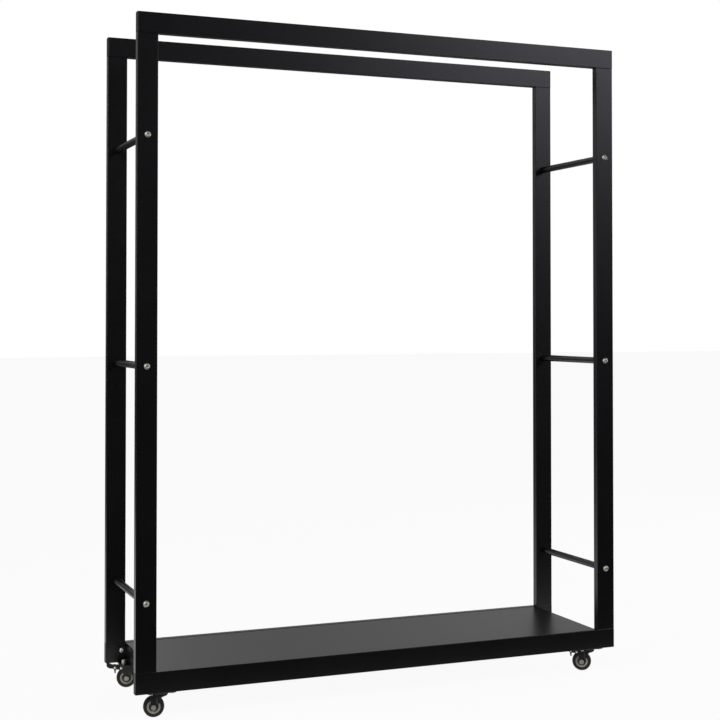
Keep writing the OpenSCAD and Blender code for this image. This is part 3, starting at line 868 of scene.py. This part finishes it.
    def hub(self) -> Shell:
        """The nylon centre: a flat rim ring, a dished web with twelve low ribs and a boss.

        Over the web the height rises by the fourth power of the cosine of six times the angle, scaled
        by just under a millimetre, so that the ribs are narrow.
        """
        half_rim, half_web, half_boss = 7.8 * MM, 3.4 * MM, self.hub_half
        rim, web, boss = self.radius - self.tread, self.radius - 12.7 * MM, 5 * MM
        turn = np.arange(self.columns) * 2 * math.pi / self.columns
        rib = np.cos(6 * turn) ** 4 * 0.9 * MM
        side_r = [boss - 0.5 * MM, boss, boss + 0.3 * MM, boss + 0.9 * MM, web - 0.9 * MM, web - 0.3 * MM,
                  web + 0.1 * MM, web + 0.7 * MM, rim - 1 * MM, rim - 0.3 * MM, rim]
        side_z = [half_boss, half_boss - 0.4 * MM, half_web + 0.6 * MM, half_web, half_web,
                  half_web + 0.5 * MM,
                  half_rim - 0.6 * MM, half_rim, half_rim, half_rim - 0.15 * MM, half_rim - 0.7 * MM]
        radius = np.array(side_r + side_r[::-1])
        height = np.array(side_z + [-z for z in side_z[::-1]])
        shell = lathe(radius, np.concatenate([[half_boss], height, [-half_boss]]), self.columns)
        ribbed = np.zeros(len(radius))
        ribbed[[3, 4]], ribbed[[-4, -5]] = 1, -1
        lift = (ribbed[:, None] * rib[None, :]).ravel()
        shell.points[: len(lift), 2] += lift
        # painted shade: the dish floor rows on both sides take the dark worn tone at full strength
        shell.wear_and_painted_light[: len(lift)] = np.repeat(np.isin(np.arange(len(radius)), [3, 4, 5, 16, 17, 18]),
                                            self.columns)
        return self.mounted([shell.placed((0, 0, 0), Facing.FRONT)])

    def axle_shell(self) -> Shell:
        """The axle: a domed head in front, a plain shank and a hexagonal nut behind."""
        outer, head, r = self.leg_gap + self.sheet, 3.5 * MM, self.nut
        rise = np.linspace(0, math.pi / 2, 7)
        dome_r, dome_z = r - 1.4 * MM * (1 - np.cos(rise)), outer + head - 1.4 * MM + 1.4 * MM * np.sin(rise)
        radius = np.concatenate([[self.axle - 0.5 * MM, self.axle, self.axle, r - 0.3 * MM, r], dome_r[1:]])
        height = np.concatenate([
            [-outer - head - 1 * MM, -outer - head - 1 * MM, -outer - head - 0.5 * MM,
             outer - 0.05 * MM, outer,
             outer + 0.3 * MM], dome_z[1:], [outer + head - 0.25 * MM],
        ])
        screw = lathe(radius, height, 48, np.array([0, 0, 0, 1, 1, 0.5, 0.5, 0, 0, 0, 0.6]))
        nut = slab(round_outline(circle(r, 6), np.full(6, 0.5 * MM), 5), -outer - head, -outer, 0.4 * MM)
        return self.mounted([joined([screw, nut]).placed((0, 0, 0), Facing.FRONT)])

    def plate(self) -> Shell:
        """The mounting plate, with the race cup pressed out of its underside."""
        low, size = extent(self._name("plate"))
        top, thick = low[2] + size[2], 2.5 * MM
        outline = rectangle(size[0], size[1], 4 * MM, 8) + self.swivel[:2]
        flat = slab(outline, top - thick, top, 0.5 * MM)
        cup = np.array([[15.7, 0], [17.1, 0], [17.6, 0.6], [18.4, 3.2], [20, 3.9], [15.7, 3.9]]) * MM
        return joined([flat, ring(cup, 72).placed((self.swivel[0], self.swivel[1], low[2]))])

    def pedal(self) -> Shell:
        """The brake lever: a barrel on the pivot, a curved foot pad with grip bars and a shoe."""
        at = np.array([-self.radius - 3.5 * MM, 25 * MM])
        pad = np.array([
            [3.4, -1], [3.2, 2.4], [0, 3.6], [-6, 3.4], [-12, 5.2], [-16.5, 7.4], [-19.4, 7.6],
            [-18.6, 3.6], [-15.6, 0.6], [-12, -1.4], [-7, -2.4], [0, -3.4],
        ]) * MM
        radii = np.array([2.2, 2.2, 3, 9, 20, 8, 0.9, 4, 12, 9, 12, 3]) * MM
        wide = np.array([[-8, 4.0], [-12, 5.4], [-16.5, 7.5], [-19.5, 7.7], [-18.6, 3.5], [-15.6, 0.4],
                         [-12, -1.5], [-8, -2.0]]) * MM
        shoe = np.array([[-2.6, -1], [-1.6, -8], [-0.6, -14.2], [2, -13.2], [2.2, -8], [2.6, -1]]) * MM
        shells = [
            self.upright(round_outline(pad, radii) + at, -9.5 * MM, 9.5 * MM, 0.7 * MM),
            self.upright(round_outline(wide, np.array([0.8, 20, 8, 0.9, 4, 12, 9, 0.8]) * MM) + at,
                         -12 * MM, 12 * MM, 0.7 * MM),
            self.upright(round_outline(shoe, np.array([0.6, 20, 0.8, 0.8, 20, 0.6]) * MM) + at,
                         -7 * MM, 7 * MM, 0.5 * MM),
        ]
        bar = rectangle(1.1 * MM, 0.8 * MM, 0.3 * MM)
        for u, v in ((-10.5, 5.0), (-13, 6.1), (-15.5, 7.2)):
            shells.append(self.upright(bar + at + np.array([u, v]) * MM, -10 * MM, 10 * MM, 0.2 * MM))
        return self.mounted(shells)

    def pins(self) -> Shell:
        """The pivot pin and the stop pin, with domed heads outside both legs."""
        shells = []
        outer = self.leg_gap + self.sheet
        pivot = (2.0 * MM, -self.radius - 3.5 * MM, 25.0 * MM)
        stop = (1.6 * MM, -self.radius + 10.5 * MM, 23.3 * MM)
        for radius, u, v in (pivot, stop):
            angle = np.linspace(0, math.pi / 2, 6)
            head_r = 2.7 * MM * np.cos(angle[:-1])
            head_z = outer + 1.0 * MM * np.sin(angle[:-1])
            r = np.concatenate([head_r[::-1], [radius, radius], head_r])
            inner = outer - 0.02 * MM
            z = np.concatenate([[-outer - MM], -head_z[::-1], [-inner, inner], head_z, [outer + MM]])
            shells.append(lathe(r, z, 32).placed((u, 0, v), Facing.FRONT))
        return self.mounted(shells)

    def build(self) -> None:
        """Makes every piece of the caster."""
        fork_body, wheel_body = self._name("fork_body"), self._name("wheel")
        make_piece(self._name("caster_plate"), self.plate(), ELECTRO_COAT, "rack", "caster_black",
                   self._name("plate"))
        make_piece(self._name("pressed_fork"), self.fork(), ELECTRO_COAT, fork_body, "caster_black",
                   self._name("fork"))
        make_piece(self._name("axle"), self.axle_shell(), DULL_ZINC, fork_body, "zinc_plate",
                   self._name("axle_bolt"))
        make_piece(self._name("tread"), self.tyre(), TYRE_RUBBER, wheel_body, "rubber_tyre",
                   self._name("tyre"))
        make_piece(self._name("wheel_centre"), self.hub(), HUB_NYLON, wheel_body, "grey_nylon",
                   self._name("hub"))
        dress_node(self._name("king_pin"), DULL_ZINC)
        if self.braked:
            make_piece(self._name("brake_lever"), self.pedal(), ELECTRO_COAT, self._name("brake"),
                       "caster_black", self._name("pedal"))
            make_piece(self._name("brake_pins"), self.pins(), ZINC_PLATE, fork_body, "zinc_plate",
                       self._name("pedal_pins"))


# ---------------------------------------------------------------- studio


@dataclass
class Studio:
    """A pale floor, a soft white room and the camera.

    Attributes:
        eye: where the camera stands.
        yaw_deg: how far the camera is turned to the right of +Y.
        pitch_deg: how far it looks up.
        lens_mm: focal length.
        shift_x: sideways shift of the lens.
        shift_y: upward shift of the lens.
        floor_size: side length of the floor.
        dim: grey that reflections meet in front of the rack and beside it.
        behind: grey that they meet towards the back of the room.
        above: grey that they meet high up straight behind, and in an upright strip there.
        near: grey of the floor in reflections, just behind the rack.
        far: grey of the floor in reflections a long way behind, and of the room low down there.
        fill: grey of the room's even light on matt surfaces.
        shadow: share of the floor that takes light and shadow.
    """

    eye: tuple[float, float, float] = (-1.2551, -3.1046, 0.8424)
    yaw_deg: float = 22.389
    pitch_deg: float = 1.156
    lens_mm: float = 70.585
    shift_x: float = -0.0197
    shift_y: float = -0.0938
    floor_size: float = 60.0
    dim: float = 0.022
    behind: float = 0.62
    above: float = 2.0
    near: float = 0.9
    far: float = 0.03
    fill: float = 0.16
    shadow: float = 0.06

    def floor(self) -> None:
        """A wide floor: white to the eye with a faint shadow, dim in reflections in front of the rack."""
        half = self.floor_size / 2
        mesh = bpy.data.meshes.new("studio_floor")
        mesh.from_pydata([(-half, -half, 0), (half, -half, 0), (half, half, 0), (-half, half, 0)], [],
                         [(0, 1, 2, 3)])
        material = bpy.data.materials.new("pale_floor")
        material.use_nodes = True
        tree = material.node_tree
        tree.nodes.clear()
        place = add(tree, "ShaderNodeTexCoord").outputs["Object"]
        depth = add(tree, "ShaderNodeSeparateXYZ", links={0: place}).outputs["Y"]
        depth = add(tree, "ShaderNodeMapRange", {"From Min": -1.0, "From Max": 4.0},
                    {"Value": depth}).outputs[0]
        tone = ramp(tree, depth, [(0.13, grey(self.dim)), (0.165, grey(self.near)), (0.4, grey(self.near)),
                                  (0.9, grey(self.far))])
        mirrored = add(tree, "ShaderNodeEmission", links={"Color": tone})
        matt = add(tree, "ShaderNodeBsdfDiffuse", {"Color": linear("#f4f4f4")})
        glow = add(tree, "ShaderNodeEmission", {"Color": grey(1.0)})
        white = add(tree, "ShaderNodeMixShader", {0: self.shadow}, {1: glow.outputs[0], 2: matt.outputs[0]})
        path = add(tree, "ShaderNodeLightPath")
        lit = add(tree, "ShaderNodeMixShader", links={0: path.outputs["Is Camera Ray"], 1: matt.outputs[0],
                                                      2: white.outputs[0]})
        both = add(tree, "ShaderNodeMixShader", links={0: path.outputs["Is Glossy Ray"], 1: lit.outputs[0],
                                                       2: mirrored.outputs[0]})
        add(tree, "ShaderNodeOutputMaterial", links={"Surface": both.outputs[0]})
        mesh.materials.append(material)
        floor = bpy.data.objects.new("studio_floor", mesh)
        bpy.context.scene.collection.objects.link(floor)

    def room(self) -> None:
        """A world that is white to the eye, even for soft light, and dark in reflections but at the back."""
        world = bpy.data.worlds.new("soft_room")
        bpy.context.scene.world = world
        world.use_nodes = True
        tree = world.node_tree
        tree.nodes.clear()
        way = add(tree, "ShaderNodeTexCoord").outputs["Generated"]
        split = add(tree, "ShaderNodeSeparateXYZ", links={0: way})
        depth = add(tree, "ShaderNodeMapRange", {"From Min": -1.0, "From Max": 1.0},
                    {"Value": split.outputs["Y"]})
        height = add(tree, "ShaderNodeMapRange", {"From Min": -1.0, "From Max": 1.0},
                     {"Value": split.outputs["Z"]})
        side = ramp(tree, depth.outputs[0], [(0.84, grey(self.dim)), (0.93, grey(self.behind))])
        back = ramp(tree, height.outputs[0], [(0.47, grey(self.far)), (0.62, grey(0.15)),
                                              (0.72, grey(self.above))])
        share = ramp(tree, depth.outputs[0], [(0.93, grey(0.0)), (0.97, grey(1.0))])
        across = add(tree, "ShaderNodeMapRange", {"From Min": -1.0, "From Max": 1.0},
                     {"Value": split.outputs["X"]})
        strip = ramp(tree, across.outputs[0], [(0.43, grey(0.0)), (0.48, grey(1.0)), (0.56, grey(1.0)),
                                               (0.6, grey(0.0))])
        back = mixed(tree, back, grey(self.above), strip)
        tone = mixed(tree, side, back, share)
        mirrored = add(tree, "ShaderNodeBackground", {"Strength": 1.0}, {"Color": tone})
        even = add(tree, "ShaderNodeBackground", {"Color": grey(self.fill), "Strength": 1.0})
        seen = add(tree, "ShaderNodeBackground", {"Color": grey(1.0), "Strength": 1.0})
        path = add(tree, "ShaderNodeLightPath")
        lit = add(tree, "ShaderNodeMixShader", links={0: path.outputs["Is Glossy Ray"], 1: even.outputs[0],
                                                      2: mirrored.outputs[0]})
        both = add(tree, "ShaderNodeMixShader", links={0: path.outputs["Is Camera Ray"], 1: lit.outputs[0],
                                                       2: seen.outputs[0]})
        add(tree, "ShaderNodeOutputWorld", links={"Surface": both.outputs[0]})

    def lamp(self, name: str, place: tuple[float, float, float], aim: tuple[float, float, float], size: float,
             watts: float, tint: str) -> None:
        """A square soft light.

        Args:
            name: its name.
            place: where it hangs.
            aim: what it points at.
            size: side length.
            watts: power.
            tint: sRGB colour of its light.
        """
        data = bpy.data.lights.new(name, "AREA")
        data.size = size
        data.energy = watts
        data.color = linear(tint)[:3]
        lamp = bpy.data.objects.new(name, data)
        lamp.location = place
        away = np.array(place) - np.array(aim)
        lamp.rotation_euler = (math.atan2(math.hypot(away[0], away[1]), away[2]), 0,
                               math.atan2(away[0], -away[1]))
        bpy.context.scene.collection.objects.link(lamp)

    def camera(self) -> None:
        """The camera, level with the lower half of the rack and to its left."""
        data = bpy.data.cameras.new("studio_camera")
        data.lens, data.shift_x, data.shift_y = self.lens_mm, self.shift_x, self.shift_y
        data.clip_end = 200
        camera = bpy.data.objects.new("studio_camera", data)
        camera.location = self.eye
        camera.rotation_euler = (math.radians(90 + self.pitch_deg), 0, -math.radians(self.yaw_deg))
        bpy.context.scene.collection.objects.link(camera)
        bpy.context.scene.camera = camera

    def build(self) -> None:
        """Makes the studio."""
        bpy.context.scene.view_settings.view_transform = "Standard"
        self.floor()
        self.room()
        self.lamp("front_softbox", (3.3, -3.7, 3.4), (0, 0, 1.2), 2.6, 76, "#f3f2ff")
        self.lamp("left_softbox", (-3.6, -2.5, 3.2), (0, 0, 0.5), 2.6, 110, "#fffaf2")
        self.lamp("right_softbox", (4.0, 0.6, 1.4), (0, 0, 0.8), 1.6, 48, "#fffaf2")
        self.camera()
        LOG.info("studio: floor, room, three soft lights and the camera")


def main() -> None:
    """Builds the rack and its studio, in order."""
    logging.basicConfig(level=logging.INFO, format="%(name)s: %(message)s")
    Studio().build()
    TubeFrame().build()
    SideTies().build()
    RailCaps().build()
    Base().build()
    for corner, braked in (("front_left", False), ("front_right", True), ("back_left", True),
                           ("back_right", False)):
        Caster(corner, braked).build()
    for node in ("corner_bolts", "base_bolts", "thread_inserts", "rivet_nuts", "swivel_balls"):
        dress_node(node, ZINC_PLATE)
    dress_node("hole_plugs", POLYETHYLENE)


if __name__ == "__main__":
    main()
